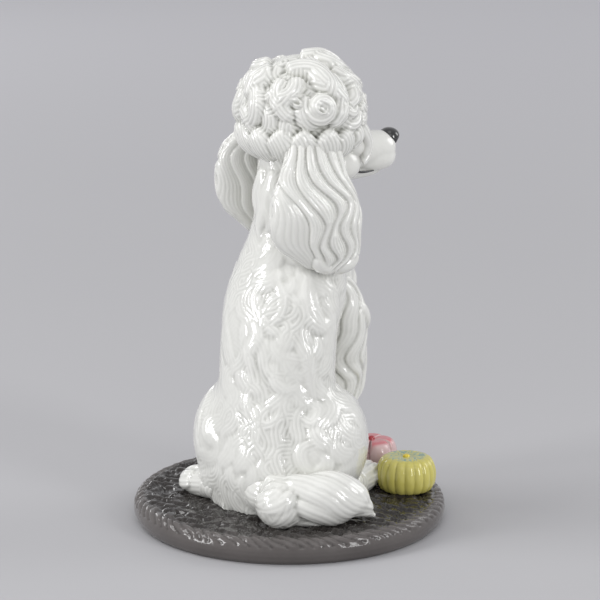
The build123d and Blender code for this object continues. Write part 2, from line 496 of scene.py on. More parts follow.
def noise_node(tree, vector, scale, detail=2.0):
    node = tree.nodes.new("ShaderNodeTexNoise")
    node.inputs["Detail"].default_value = detail
    for name, value in (("Scale", scale), ("Vector", vector)):
        if isinstance(value, (int, float)):
            node.inputs[name].default_value = value
        else:
            tree.links.new(value, node.inputs[name])
    return node.outputs["Fac"]


def mix_colour(tree, factor, a, b):
    node = tree.nodes.new("ShaderNodeMix")
    node.data_type = "RGBA"
    for socket, value in ((node.inputs["Factor"], factor), (node.inputs[6], a), (node.inputs[7], b)):
        if isinstance(value, (int, float, tuple)):
            socket.default_value = (*value, 1.0) if isinstance(value, tuple) else value
        else:
            tree.links.new(value, socket)
    return node.outputs[2]


COLOUR, NUMBER = "NodeSocketColor", "NodeSocketFloat"
print("helpers ready, node groups so far:", len(bpy.data.node_groups))

# %% [markdown]
# ## Pooled glaze and painted shade
# The group mixes the thin and the pooled colour by the hollow that each piece has stored. The pooled
# colour is partly real pooling and partly painted shade in the hollows. A power keeps the pooled colour
# to the deepest places, and a slow noise makes the glaze drift, as it does in the kiln.
# %% Group: pooled glaze and painted shade
glaze_pooling_and_shade, inlet, outlet = new_group(
    "pooled glaze",
    [("Thin", COLOUR), ("Pooled and shaded", COLOUR), ("Drift", NUMBER)],
    [("Colour", COLOUR), ("Roughness", NUMBER)],
)
coords = glaze_pooling_and_shade.nodes.new("ShaderNodeTexCoord").outputs["Object"]
hollow = glaze_pooling_and_shade.nodes.new("ShaderNodeAttribute")
hollow.attribute_name = "hollow"
cloud = noise_node(glaze_pooling_and_shade, coords, 26.0, 3.0)
drift = math_node(glaze_pooling_and_shade, "SUBTRACT", cloud, 0.5)
drift = math_node(glaze_pooling_and_shade, "MULTIPLY", drift, inlet.outputs["Drift"])
deep = math_node(glaze_pooling_and_shade, "POWER", hollow.outputs["Fac"], 2.2)
pool_and_shade = math_node(glaze_pooling_and_shade, "ADD", deep, drift, clamp=True)
colour = mix_colour(glaze_pooling_and_shade, pool_and_shade, inlet.outputs["Thin"], inlet.outputs["Pooled and shaded"])
rough = math_node(glaze_pooling_and_shade, "MULTIPLY_ADD", cloud, 0.10, 0.10)
glaze_pooling_and_shade.links.new(colour, outlet.inputs["Colour"])
glaze_pooling_and_shade.links.new(rough, outlet.inputs["Roughness"])
print("pooled glaze:", len(glaze_pooling_and_shade.nodes), "nodes")

# %% [markdown]
# ## Orange peel
# The fine ripple is one soft noise. The group gives only its height, and each glaze turns that into a
# normal with a bump of its own strength.
# %% Group: orange peel
peel_inputs = [("Scale", NUMBER), ("Depth", NUMBER)]
orange_peel, inlet, outlet = new_group("orange peel", peel_inputs, [("Height", NUMBER)])
coords = orange_peel.nodes.new("ShaderNodeTexCoord").outputs["Object"]
ripple = noise_node(orange_peel, coords, inlet.outputs["Scale"], 1.0)
height = math_node(orange_peel, "MULTIPLY", ripple, inlet.outputs["Depth"])
orange_peel.links.new(height, outlet.inputs["Height"])
print("orange peel:", len(orange_peel.nodes), "nodes")

# %% [markdown]
# ## The glazes
# Every glaze is a Principled shader with a clear coat, which is how glass over coloured clay looks. The
# shader's fixed numbers sit on its own sockets, and the groups feed only what changes over the surface.
# %% Mix the glazes


def glazed(name, thin, pooled_and_shaded, drift=0.25, peel=260.0, coat=0.7, coat_roughness=0.06, bump=0.00012, ior=1.5):
    """A glaze with a thin colour and a pooled colour, which also paints shade into hollows, as a material."""
    material = bpy.data.materials.new(name)
    material.use_nodes = True
    tree = material.node_tree
    shader = tree.nodes["Principled BSDF"]
    glaze_pool_and_shade = tree.nodes.new("ShaderNodeGroup")
    glaze_pool_and_shade.node_tree = glaze_pooling_and_shade
    glaze_pool_and_shade.inputs["Thin"].default_value = (*thin, 1)
    glaze_pool_and_shade.inputs["Pooled and shaded"].default_value = (*pooled_and_shaded, 1)
    glaze_pool_and_shade.inputs["Drift"].default_value = drift
    tree.links.new(glaze_pool_and_shade.outputs["Colour"], shader.inputs["Base Color"])
    tree.links.new(glaze_pool_and_shade.outputs["Roughness"], shader.inputs["Roughness"])
    skin_ripple = tree.nodes.new("ShaderNodeGroup")
    skin_ripple.node_tree = orange_peel
    skin_ripple.inputs["Scale"].default_value = peel
    skin_ripple.inputs["Depth"].default_value = 1.0
    relief = tree.nodes.new("ShaderNodeBump")
    relief.inputs["Strength"].default_value = 1.0
    relief.inputs["Distance"].default_value = bump
    tree.links.new(skin_ripple.outputs["Height"], relief.inputs["Height"])
    tree.links.new(relief.outputs["Normal"], shader.inputs["Normal"])
    shader.inputs["IOR"].default_value = ior
    shader.inputs["Coat Weight"].default_value = coat
    shader.inputs["Coat Roughness"].default_value = coat_roughness
    return material


# The white glaze's pooled grey is mostly painted shade, which darkens the creases of the coat.
white_glaze = glazed("white glaze", (0.845, 0.845, 0.81), (0.26, 0.265, 0.225), drift=0.12)
dark_glaze = glazed(
    "dark glaze", (0.115, 0.104, 0.1), (0.028, 0.024, 0.022), drift=0.5,
    peel=420.0, bump=0.0002, coat=0.5, coat_roughness=0.08, ior=1.3,
)
black_glaze = glazed("black glaze", (0.012, 0.012, 0.013), (0.004, 0.004, 0.004), coat=1.0)
button_glaze = glazed("button yellow glaze", (0.80, 0.62, 0.03), (0.55, 0.38, 0.02))
red_glaze = glazed("red glaze", (0.42, 0.02, 0.03), (0.20, 0.01, 0.015))
print("glazes:", len(bpy.data.materials))

# %% [markdown]
# ## The bulks of the body
# Trunk, neck, chest and haunches are separate castings on the bench, but once luted and glazed they read
# as one flowing body, so one skin covers them all. The valleys between the bulks are filled first, as a
# thumb of slip would fill them: each point in a hollow moves outwards a little, many times over.
# %% Bulks of the body
TRUNK = Bulk([
    # x, y, z, half width, half depth
    (0, 25, 16, 45, 35),
    (0, 27, 45, 46.5, 38),
    (0, 24, 75, 43, 36),
    (0, 20.5, 105, 41, 34),
    (0, 17, 135, 41, 33),
    (0, 11, 160, 41, 32),
    (0, 4, 182, 36, 31),
    (0, 0, 205, 27, 26),
    (0, -1, 228, 24, 25),
    (0, -3, 262, 22, 24),
])
CHEST = Dome((0, -26, 168), (35, 33, 43))
HAUNCHES = [Dome((side * 35.5, 14, 60), (26, 39, 41), pitch=-10) for side in (1, -1)]
SHOULDER = Dome((-27, 0, 168), (14, 18, 34))
SEAT = [Dome((27, 31, 36), (27, 22, 25)), Dome((-24, 30, 36), (26, 21, 24))]
dice = np.random.RandomState(7)


def fill_creases(mesh, rounds, share=0.5):
    """Moves only the points in hollows, outwards, so that valleys fill and crests stay."""
    ends = edges_of(mesh)
    for _ in range(rounds // 5):
        points, out = points_of(mesh), normals_of(mesh)
        for _ in range(5):
            sink = np.sum((averaged(points, ends, 1, 1.0) - points) * out, -1)
            points = points + out * (share * np.maximum(sink, 0))[:, None]
        put_points(mesh, points)


def as_lump(mesh):
    """A mesh's own points and faces, to go into another fuse."""
    mesh.calc_loop_triangles()
    corners = np.empty(len(mesh.loop_triangles) * 3, int)
    mesh.loop_triangles.foreach_get("vertices", corners)
    return points_of(mesh), corners.reshape(-1, 3)


bulks = [skin(form.rings()) for form in (TRUNK, CHEST, SHOULDER, *HAUNCHES, *SEAT)]
core = fuse("body_core", bulks, voxel=1.6, soften=6)
fill_creases(core, 120)
put_points(core, averaged(points_of(core), edges_of(core), 6))
print("body core:", len(core.vertices), "points")

# %% [markdown]
# ## Trails on a finished skin
# A lock that crosses from one bulk to the next is easier to lay on the finished core than on a bulk. A
# trail starts at a point, feels for the nearest spot of the skin, takes a short step along it and
# repeats. A tree of the skin's faces finds that nearest spot quickly.
# %% Lay a trail on a skin


def slow_waves(points, wavelength, seed, count=9):
    """A smooth random field between about -1 and 1, made of plane waves."""
    pick = np.random.RandomState(seed)
    total = np.zeros(len(points))
    for _ in range(count):
        direction = unit(pick.normal(size=3)) * 2 * math.pi / (wavelength * pick.uniform(0.75, 1.4))
        total += np.sin(points @ direction + pick.uniform(0, 2 * math.pi))
    return total / math.sqrt(count) * 0.8


def scatter(points, gap, pick):
    """Points of a mesh at least gap apart."""
    chosen = []
    for p in points[pick.permutation(len(points))[:6000]]:
        if all(np.sum((p - q) ** 2) > gap * gap for q in chosen):
            chosen.append(p)
    return np.array(chosen)


def trail(hide, start, headings, length, steps=16):
    """Points and outward directions on a skin: headings run evenly from root to tip, 0 up and 90 right."""
    points, outs, here = [], [], Vector(start)
    for heading in np.radians(through(np.array(headings, float), np.linspace(0, 1, steps))):
        here, out = hide.find_nearest(here)[:2]
        points.append(here)
        outs.append(out)
        up = (Vector((0, 0, 1)) - out * out.z).normalized()
        right = up.cross(out)
        here = here + (up * math.cos(heading) + right * math.sin(heading)) * (length / (steps - 1))
    return np.array(points), np.array(outs)


hide = BVHTree.FromPolygons(*(x.tolist() for x in as_lump(core)))
print("a trail down the back ends at", trail(hide, (0, 60, 150), (180, 180), 30)[0][-1].round())

# %% [markdown]
# ## The short coat
# The body is clipped short, so its locks are low and shaped like an S. They are scattered an even gap
# apart, and their slant and their hand come from slow random fields, so that locks side by side run the
# same way. They stand up most on the back and are faint elsewhere.
# %% Scatter low locks over the body
BACK = np.array([-0.42, 0.91, 0.0])  # level direction out of the dog's back, towards its right
LOCK_GAP = 11.5
LOWEST_LOCK, HIGHEST_LOCK = 24, 222

starts = scatter(points_of(core), LOCK_GAP, np.random.RandomState(5))
starts = starts[(starts[:, 2] > LOWEST_LOCK) & (starts[:, 2] < HIGHEST_LOCK)]
slants = 30 * slow_waves(starts, 60, 41)
hands = np.sign(slow_waves(starts, 42, 42))
body_parts = [as_lump(core)]
for start, slant, hand in zip(starts, slants, hands):
    towards_back = max(0.0, float(unit(start * (1, 1, 0)) @ BACK))
    bold = 0.18 + 0.82 * towards_back**3
    down, bend = 180 + slant, hand * dice.uniform(30, 62)
    headings = (down - bend, down + 0.4 * bend, down + bend, down - 0.2 * bend)
    line, out = trail(hide, start, headings, dice.uniform(26, 36))
    width = dice.uniform(5.5, 8.0)
    body_parts.append(lock_on(line + out * 0.2, out, width, 2.1 * bold, root=0.3, tip=0.25))
print("low locks:", len(starts))

# %% [markdown]
# ## The bold tufts
# Nine tufts stand out of the back and catch the light, and scattering never puts them in the right place.
# So each is laid one by one: a few spots on the trunk's chart, dropped on to the finished skin.
# %% Lay the bold tufts one by one
TUFTS = [
    # half width, height, then spots (turn, reach) round the trunk
    (8.5, 4.2, [(137, 0.69), (135, 0.60), (141, 0.535), (156, 0.50), (171, 0.51)]),
    (6.0, 3.4, [(103, 0.65), (111, 0.59), (109, 0.54), (96, 0.50)]),
    (5.5, 3.0, [(114, 0.61), (124, 0.575), (122, 0.54), (111, 0.52)]),
    (6.5, 3.4, [(109, 0.41), (111, 0.36), (124, 0.34), (138, 0.36)]),
    (6.0, 3.2, [(93, 0.265), (105, 0.25), (115, 0.27), (119, 0.31)]),
    (6.0, 3.0, [(88, 0.29), (95, 0.25), (95, 0.21), (88, 0.185)]),
    (6.5, 3.4, [(138, 0.27), (150, 0.25), (155, 0.28), (142, 0.31)]),
    (6.5, 3.2, [(128, 0.47), (140, 0.42), (146, 0.36), (152, 0.30)]),
    (6.5, 3.0, [(80, 0.52), (88, 0.47), (80, 0.42), (86, 0.36)]),
]
for width, height, spots in TUFTS:
    turn, reach = through(np.array(spots), np.linspace(0, 1, 28)).T
    found = [hide.find_nearest(Vector(p))[:2] for p in TRUNK.spot(turn, reach)]
    line, out = (np.array(x) for x in zip(*found))
    body_parts.append(lock_on(line, out, width, height, root=0.5, tip=0.35))
print("bold tufts:", len(TUFTS))

# %% [markdown]
# ## The neck and the chest
# Long wavy locks hang down the back of the neck from under the topknot. The chest keeps a ruff of round
# curls, each a stroke that turns through a third of a circle or more. A golden-angle spiral spreads them,
# as seeds lie in a sunflower head.
# %% Hang the neck locks and curl the ruff
GOLDEN_ANGLE = 137.5
NECK_LOCKS, RUFF_CURLS = 11, 44
RUFF_FRONT = -22  # curls whose middle lies behind this y are left out

for k in range(NECK_LOCKS):
    turn = math.radians(48 + 15 * k)
    start = np.array([math.cos(turn) * 27, math.sin(turn) * 29, 252 - 4 * (k % 2)])
    bend = (-1) ** k * 26
    headings = (180 - bend, 180 + bend, 180 - bend, 180 + 2 * bend)
    line, out = trail(hide, start, headings, dice.uniform(38, 50), 30)
    body_parts.append(lock_on(line, out, 7.0, 4.5, tip=0.3))
for k in range(RUFF_CURLS):
    bearing = GOLDEN_ANGLE * k
    high = math.degrees(math.asin(-0.95 + 1.7 * (k + 0.5) / RUFF_CURLS))
    bend = dice.choice([-1, 1]) * dice.uniform(120, 240)
    heading = 180 + dice.uniform(-40, 40) - bend / 3
    path = stroke(CHEST, bearing, high, heading, dice.uniform(20, 30), bend)
    if CHEST.spot(*path[6])[1] < RUFF_FRONT:
        body_parts.append(lock(CHEST, path, dice.uniform(5, 7), dice.uniform(2.5, 4)))
print("locks on the body:", len(body_parts) - 1)

# %% [markdown]
# ## Fuse and comb the coat
# All the locks and the core become one skin, which is softened well, because thick glaze rounds off a low
# relief. The comb then goes over it, deeper on the back, and a slow random field lifts it here and there,
# so that smooth patches break up the strands.
# %% Fuse, comb and place the coat
BODY_COMB = 0.36  # deepest comb mark, in millimetres

body = fuse("coat_of_the_body", body_parts, voxel=0.86, soften=6)
spots = points_of(body)
facing_back = np.clip(unit(spots * (1, 1, 0)) @ BACK, 0, 1)
patchy = np.clip(0.70 + 0.9 * slow_waves(spots, 45, 21), 0.2, 1)
comb_along(body, COMB_GAP, BODY_COMB * patchy * (0.55 + 0.45 * facing_back))
under_coat = ("torso", "neck", "chest_ruff", "left_haunch", "right_haunch")
place_piece("coat_of_the_body", body, white_glaze, "white_glaze", *under_coat)

# %% [markdown]
# ## The topknot
# The topknot is a dome of plump curls, each a fat roll bent like a comma. The large ones that show from
# behind are listed one by one, and smaller ones, spread on a spiral and turned at random, fill the rest
# of the dome, so that no bare skin shows between them.
# %% Curls of the topknot
BACK_LEFT = 63.0  # bearing on the head that looks at a viewer behind the dog's right shoulder
KNOT = Dome((0, 0, 0), (40.5, 39.5, 36.5), on_head)
CURLS = [
    # bearing, height, heading, length, bend, half width, height
    (BACK_LEFT - 44, 50, 222, 26, -50, 12, 9.5),
    (BACK_LEFT - 24, 50, 50, 38, 150, 9, 8),
    (BACK_LEFT + 12, 66, 172, 44, -40, 10, 9),
    (BACK_LEFT - 4, 42, 185, 30, 60, 8.5, 7),
    (BACK_LEFT - 22, 40, 200, 32, -80, 9, 7),
    (BACK_LEFT - 60, 26, 100, 30, 150, 10, 8),
    (BACK_LEFT - 34, 26, 150, 26, -160, 8.5, 7.5),
    (BACK_LEFT - 84, 22, 150, 30, 120, 10, 8),
    (BACK_LEFT - 74, -2, 60, 24, 150, 9, 7),
    (BACK_LEFT + 38, 44, 162, 32, 50, 7.5, 7),
    (BACK_LEFT + 55, 52, 170, 30, -70, 7, 6.5),
    (BACK_LEFT + 43, 16, 185, 20, 60, 8, 8),
    (BACK_LEFT + 66, 30, 170, 22, 110, 6, 6),
    (BACK_LEFT + 62, 8, 200, 18, 150, 6, 6.5),
    (BACK_LEFT + 84, 40, 190, 22, -120, 6.5, 6),
    (BACK_LEFT - 10, 80, 90, 32, 100, 8, 7),
    (BACK_LEFT + 60, 76, 200, 28, -100, 7.5, 7),
    (BACK_LEFT - 74, 60, 200, 30, 110, 9, 7.5),
    (BACK_LEFT - 130, 50, 190, 32, -130, 9, 7.5),
    (BACK_LEFT - 120, 20, 170, 30, 140, 9, 8),
    (BACK_LEFT - 165, 25, 185, 30, -140, 9, 8),
    (BACK_LEFT + 150, 45, 170, 32, 130, 9, 7.5),
    (BACK_LEFT + 135, 15, 190, 28, 150, 8.5, 8),
    (BACK_LEFT + 115, 55, 180, 30, -110, 8.5, 7),
]
FILLERS = 26

knot_parts = [skin(KNOT.rings())]
for bearing, high, heading, length, bend, width, height in CURLS:
    path = stroke(KNOT, bearing, high, heading, length, bend)
    knot_parts.append(lock(KNOT, path, width * 0.92, height * 1.25, lift=(0, 1.5), root=0.8, tip=0.6))
for k in range(FILLERS):
    bearing = (GOLDEN_ANGLE * k) % 360
    high = math.degrees(math.asin(-0.15 + 1.12 * (k + 0.5) / FILLERS))
    bend = dice.choice([-1, 1]) * dice.uniform(100, 200)
    under_large_curls = abs((bearing - BACK_LEFT + 180) % 360 - 180) < 60
    heading = 180 + dice.uniform(-50, 50) - bend / 3
    path = stroke(KNOT, bearing, high, heading, dice.uniform(20, 30), bend)
    width = dice.uniform(6.5, 8.5)
    height = 6.0 if under_large_curls else dice.uniform(7.0, 8.5)
    knot_parts.append(lock(KNOT, path, width, height))
print("curls:", len(knot_parts) - 1)

# %% [markdown]
# ## Snail curls
# A few curls are wound right up, like snails. Each winds inwards and rises on the way, with a small ball
# in its middle, because a spiral alone would leave a pit there.
# %% Snail curls
SNAILS = [
    # bearing, height, radius, turns, start, half width, height
    (BACK_LEFT + 18, 9, 10.0, 1.6, 150, 6.2, 9.5),
    (BACK_LEFT - 26, 12, 4.0, 1.4, 200, 3.2, 5.5),
    (BACK_LEFT - 4, 14, 3.0, 1.3, 90, 2.6, 6.0),
    (BACK_LEFT - 32, 58, 3.5, 1.4, 0, 3.0, 5.5),
    (BACK_LEFT + 74, 20, 3.2, 1.4, 0, 2.6, 6.0),
    (160, 8, 5.5, 1.6, 30, 4.2, 7.0),
    (192, 14, 6.0, 1.6, 180, 4.4, 7.0),
    (225, 6, 5.0, 1.5, 90, 4.0, 7.0),
    (270, 18, 8.0, 1.7, 30, 5.5, 8.0),
    (330, 20, 7.0, 1.6, 200, 5.0, 7.5),
]
for bearing, high, radius, turns, start, width, height in SNAILS:
    knot_parts.append(snail(KNOT, bearing, high, radius, turns, start, width, height))
    middle, out = (x[0] for x in facing(KNOT, np.array([bearing]), np.array([high])))
    knot_parts.append(skin(Dome(middle + out * 0.42 * height, [0.4 * radius] * 3).rings(16, 20)))
print("snail curls:", len(SNAILS))

# %% [markdown]
# ## Brow and temples
# Over the face the curls hang forward as a fringe. One wisp falls from each temple: the right one past
# the corner of the eye, the left one only to the brow, so that the eye on that side looks out.
# %% Fringe and temple wisps
WISP = [(25, -33, -8), (23.5, -38, -16), (20.5, -42, -25), (21, -40, -34), (24, -36, -39)]

for k in range(9):
    zigzag = (-1) ** k
    path = stroke(KNOT, 132 + 12 * k, 2 + 5 * (k % 2), 170 + 20 * zigzag, 20, zigzag * 110)
    knot_parts.append(lock(KNOT, path, 6.5, 6.5, lift=(0.5, 3.0), root=0.8, tip=0.5))
for side, share in ((1, 0.4), (-1, 1.0)):
    wisp = through([(side * x, y, z) for x, y, z in WISP], np.linspace(0, share, 24))
    out = np.zeros(wisp.shape) + (on_head((side * 0.55, -0.83, 0.1)) - on_head((0, 0, 0)))
    knot_parts.append(lock_on(on_head(wisp), out, 4.6, 4.2, root=0.8, tip=0.3))
print("parts of the topknot so far:", len(knot_parts))

# %% [markdown]
# ## The tucked band
# Round the lower edge of the topknot short locks lie side by side, slanted and tucked under, so they make
# a rope-like band that hides where the ears start. With the band on, the whole topknot is fused and
# combed. It is softened less than the body, because its relief is high enough to stay crisp.
# %% Band of tucked locks, then fuse and comb the topknot
RIM = Dome((0, 1, -12), (41.5, 40.5, 24), on_head)
BAND_LOCKS = 16
KNOT_COMB = 0.46

knot_parts.append(skin(Dome((0, 2, -17), (38, 37, 11), on_head).rings()))
for k in range(BAND_LOCKS):
    bearing = 360 / BAND_LOCKS * k + dice.uniform(-2, 2)
    in_front = abs(bearing - 180) < 50
    path = stroke(RIM, bearing - 9, 4 if in_front else 0, 130, 16 if in_front else 30, 95)
    width = dice.uniform(6, 7) if in_front else dice.uniform(10.0, 12.0)
    knot_parts.append(lock(RIM, path, width, dice.uniform(6.5, 8), lift=(0.5, 1.5), root=0.7, tip=0.7))
topknot = fuse("topknot_of_curls", knot_parts, voxel=0.66, soften=2)
comb_along(topknot, COMB_GAP, KNOT_COMB)
place_piece("topknot_of_curls", topknot, white_glaze, "white_glaze", "topknot", "topknot_roll")

# %% [markdown]
# ## The ears
# A poodle's ears hang like heavy curtains of wavy hair. All the locks of one face flow side by side, so
# a few guide lines are drawn down the ear and every lock fills the room between two of them. Each lock
# rises steeply on one side and falls away on the other, which makes it seem to lie over its neighbour.
# The outer face has bold waves and the inner face, which lies against the neck, has calm falls.
# %% Guide lines of the ears
WAVES = [
    # plumpness, strands, then where the lock's rear side runs, evenly from top to bottom: -1 rear, 1 front
    (2.0, 6, (-1.05, -1.05, -1.05, -1.05, -1.05, -1.05, -1.05, -1.05, -1.05)),
    (3.0, 5, (-1.0, -1.0, -0.97, -0.60, -0.31, -0.38, -0.60, -0.90, -1.0)),
    (3.4, 5, (-0.8, -0.76, -0.60, -0.33, 0.02, -0.18, -0.34, -0.60, -0.8)),
    (3.8, 5, (-0.5, -0.49, -0.20, 0.22, 0.20, 0.06, 0.06, -0.34, -0.5)),
    (3.6, 5, (-0.2, -0.13, 0.20, 0.54, 0.36, 0.50, 0.30, -0.08, -0.2)),
    (3.2, 5, (0.2, 0.32, 0.62, 0.76, 0.64, 0.77, 0.56, 0.33, 0.3)),
    (2.6, 5, (0.6, 0.73, 0.88, 0.93, 0.86, 0.92, 0.84, 0.82, 0.7)),
    (0.0, 1, (1.05, 1.05, 1.05, 1.05, 1.05, 1.05, 1.05, 1.05, 1.05)),
]
FALLS = [
    (1.6, 6, (-1.05, -1.05, -1.05, -1.05, -1.05)),
    (1.3, 6, (-0.60, -0.78, -0.56, -0.70, -0.40)),
    (1.5, 5, (-0.25, -0.46, -0.22, -0.38, -0.15)),
    (1.4, 6, (0.08, -0.12, 0.14, 0.0, 0.10)),
    (1.6, 5, (0.40, 0.26, 0.48, 0.34, 0.35)),
    (1.4, 5, (0.70, 0.62, 0.78, 0.68, 0.60)),
    (0.0, 1, (1.05, 1.05, 1.05, 1.05, 1.05)),
]


def lock_relief(place, guides, plump, strands, cut=0.95):
    """Height of a coat at places across it, where guides are the rising lines between its locks."""
    q = np.interp(place, guides, np.arange(len(guides)))
    k = np.minimum(q.astype(int), len(guides) - 2)
    f = q - k
    body_of_lock = np.sin(math.pi * np.clip(f, 0, 1) ** 0.62) ** 0.6
    wide = np.clip(np.diff(guides)[k] * 4, 0.35, 1)
    teeth = np.array(strands)[k]
    comb = np.where(teeth > 1, 1 - np.abs(np.sin(math.pi * teeth * f)) ** 0.7, 0)
    return np.array(plump)[k] * wide * (body_of_lock - cut / 3.4 * comb)


middle_heights = lock_relief(np.array([-0.5, 0.5]), np.array([-1.0, 0.0, 1.0]), (3, 3, 0), (1, 1, 1))
print("height in the middle of two plain locks:", middle_heights.round(2))

# %% [markdown]
# ## The two curtains
# An ear is a flat bulk that widens downwards and narrows again at its end. The right one is a little
# longer. Two locks are laid over the lower part of each, where the ear's end curls in under itself.
# %% Comb and place the ears
EARS = {
    # x, y and z about the middle of the topknot, then half breadth
    "left": [
        (32, 9, -15, 17), (40, 13, -31, 26), (44, 13, -54, 31),
        (44, 9, -74, 28), (44, 3, -90, 17), (44, 0, -97, 6),
    ],
    "right": [
        (32, 8, -17, 17), (40, 11, -36, 23), (44, 12, -60, 32.5),
        (44, 9, -84, 31), (44, 1, -99, 19), (44, -2, -105, 7),
    ],
}
EAR_THICKNESS = 0.36  # as a share of its breadth


def combed_ear(form, side, rings=230, around=420):
    """The skin of an ear with its locks in relief."""
    turn, reach = np.meshgrid(np.arange(around) * 360 / around, np.linspace(0, 1, rings))
    point, out = facing(form, turn, np.clip(reach, 0.005, 0.995))
    lift = np.zeros(turn.shape)
    on_left_half = np.cos(np.radians(turn[0])) >= 0
    front = -np.sin(np.radians(turn[0]))
    for outer, family in ((True, WAVES), (False, FALLS)):
        here = on_left_half if (side > 0) == outer else ~on_left_half
        plump, strands, lines = zip(*family)
        for i, r in enumerate(reach[:, 0]):
            guides = np.array([through(line, r) for line in lines]) + 0.06 * math.sin(2 * math.pi * 3.1 * r)
            guides = np.maximum.accumulate(guides + 1e-3 * np.arange(len(lines)))
            lift[i, here] = lock_relief(front[here], guides, plump, strands)
    fade = np.clip(np.minimum(reach / 0.05, (1 - reach) / 0.05), 0, 1)
    return skin(point + out * (lift * fade)[..., None])


for name, side in (("left", 1), ("right", -1)):
    rows = [(side * x, y, z, EAR_THICKNESS * half, half) for x, y, z, half in EARS[name]]
    ear_bulk = Bulk(rows, place=on_head)
    face = 180 if side < 0 else 0
    tuck = [(face - side * s, r) for s, r in ((62, 0.72), (52, 0.84), (22, 0.94), (-12, 0.97))]
    fold = [(face - side * s, r) for s, r in ((-20, 0.70), (-34, 0.80), (-24, 0.90), (2, 0.95))]
    ear_parts = [combed_ear(ear_bulk, side), lock(ear_bulk, tuck, 6.5, 6), lock(ear_bulk, fold, 5.5, 6)]
    ear = fuse(f"{name}_ear_locks", ear_parts, voxel=0.5, soften=1)
    laid.clear()  # an ear has its comb marks already
    place_piece(f"{name}_ear_locks", ear, white_glaze, "white_glaze", f"{name}_ear")

# %% [markdown]
# ## The skull
# Under the curls the face is clipped short: a smooth skull, cheeks, a brow over each eye and two thin
# eyelids. All of it is plain lumps fused together, since clipped skin has no locks to show.
# %% Skull, cheeks and eyelids
EYE_HEIGHT = -28


def head_lump(rows):
    """A bulk of rows of x, y, z, half width and half height on the turned head."""
    return skin(Bulk(rows, level=False, place=on_head).rings())


skull = [skin(Dome((0, -4, -30), (28, 35, 26), on_head).rings())]
for side in (1, -1):
    skull.append(skin(Dome((side * 14, -21, -39), (13, 17, 13), on_head).rings()))
    skull.append(skin(Dome((side * 15.5, -32, -26), (8.5, 9.5, 9), on_head).rings()))
    for rise, half in ((4.4, 1.6), (-4.2, 1.4)):
        arch = ((7.5, -42.5, 0.1), (11, -43.5, 1), (15.5, -42, 0.9), (19, -38.5, 0.0))
        lid = [(side * x, y, EYE_HEIGHT + rise * k, half, half) for x, y, k in arch]
        skull.append(skin(Bulk(lid, level=False, place=on_head).rings(20, 16)))
skull_mesh = fuse("clipped_skull", skull, voxel=0.7, soften=4)
place_piece("clipped_skull", skull_mesh, white_glaze, "white_glaze", "skull")

# %% [markdown]
# ## The muzzle
# The muzzle is long and straight, with a lower jaw under it and a soft lip hanging on each side. Three
# kinds of bulk give those forms, and the fuse runs them together like one piece of clay.
# %% Muzzle, jaw and lips
BRIDGE = [
    (0, -16, -34, 19, 17),
    (0, -30, -33, 17, 16),
    (0, -42.7, -33, 15, 14.5),
    (0, -53.5, -33, 13.5, 13.5),
    (0, -62.5, -33, 12.5, 12.5),
    (0, -68.8, -33.5, 9.5, 10.5),
    (0, -72, -34, 4, 5),
]
JAW = [
    (0, -18, -45, 13, 8),
    (0, -33, -46.5, 11.5, 7),
    (0, -46.3, -46.5, 10, 6),
    (0, -56.2, -45.5, 8, 5.5),
    (0, -62.5, -44.5, 4, 3),
]
LIP = [(7, -43.6, -38, 5, 8), (7, -54.4, -38, 6.5, 9), (5.5, -64.3, -37.5, 6.5, 8.5), (3, -70.6, -37, 3, 4)]

muzzle_parts = [head_lump(BRIDGE), head_lump(JAW)]
for side in (1, -1):
    muzzle_parts.append(head_lump([(side * x, *rest) for x, *rest in LIP]))
muzzle = fuse("muzzle_with_lips", muzzle_parts, voxel=0.7, soften=6)
place_piece("muzzle_with_lips", muzzle, white_glaze, "white_glaze", "muzzle")

# %% [markdown]
# ## The nose, eyes and mouth
# These are painted black on the real figurine. The nose is a lump of its own with two nostrils, each
# pressed in as a smooth dent that is deepest in its middle. The eyes are balls between the lids. The
# mouth shows as a dark line at each corner, so it is a thin bulk that lies half in the muzzle's skin.
# %% Nose, eyes and mouth line
NOSE = [
    (0, -62.5, -23.5, 4, 3),
    (0, -65.7, -24.5, 7.5, 6),
    (0, -69.7, -26, 8.4, 7.2),
    (0, -72.8, -27.5, 6.6, 6),
    (0, -74.2, -28.5, 2, 2),
]
NOSTRIL, NOSTRIL_DEPTH, NOSTRIL_RADIUS = (4.8, -73.0, -28.2), 1.7, 1.9
MOUTH = [(9.5, -52, -46.6, 0.5), (11.2, -46, -46.6, 0.8), (12.4, -40, -46.2, 1.0), (13.6, -34, -45.0, 0.6)]

nose = fuse("black_nose", [head_lump(NOSE)], voxel=0.4, soften=3)
spots = points_of(nose)
for side in (1, -1):
    hole = on_head(np.array([side * NOSTRIL[0], *NOSTRIL[1:]]))
    far = np.linalg.norm(spots - hole, axis=1)
    spots = spots - normals_of(nose) * (NOSTRIL_DEPTH * np.exp(-((far / NOSTRIL_RADIUS) ** 2)))[:, None]
put_points(nose, spots)
place_piece("black_nose", nose, black_glaze, "black_glaze", "nose")
for name, side in (("left", 1), ("right", -1)):
    eyeball = Dome((side * 13.0, -38.2, EYE_HEIGHT), (6.0, 5.4, 4.8), on_head)
    eye = fuse(f"{name}_painted_eye", [skin(eyeball.rings())], voxel=0.4)
    place_piece(f"{name}_painted_eye", eye, black_glaze, "black_glaze", f"{name}_eye")
    line = Bulk([(side * x, y, z, r, r) for x, y, z, r in MOUTH], level=False, place=on_head)
    mouth = fuse(f"{name}_mouth_line", [skin(line.rings(30, 16))], voxel=0.3)
    place_piece(f"{name}_mouth_line", mouth, black_glaze, "black_glaze")

# %% [markdown]
# ## The forepaws
# A forepaw is a rounded mitt with four toes that start from one knuckle and spread a little. Its parts
# are only made ready here: each paw goes into the scene straight after the leg that stands on it.
# %% Parts of a forepaw
TOE_TIPS = ((-8, -54), (-2.8, -57.5), (3, -57.5), (8, -53.5))  # x from the paw's middle, and y
TOE_RADIUS = 4.4


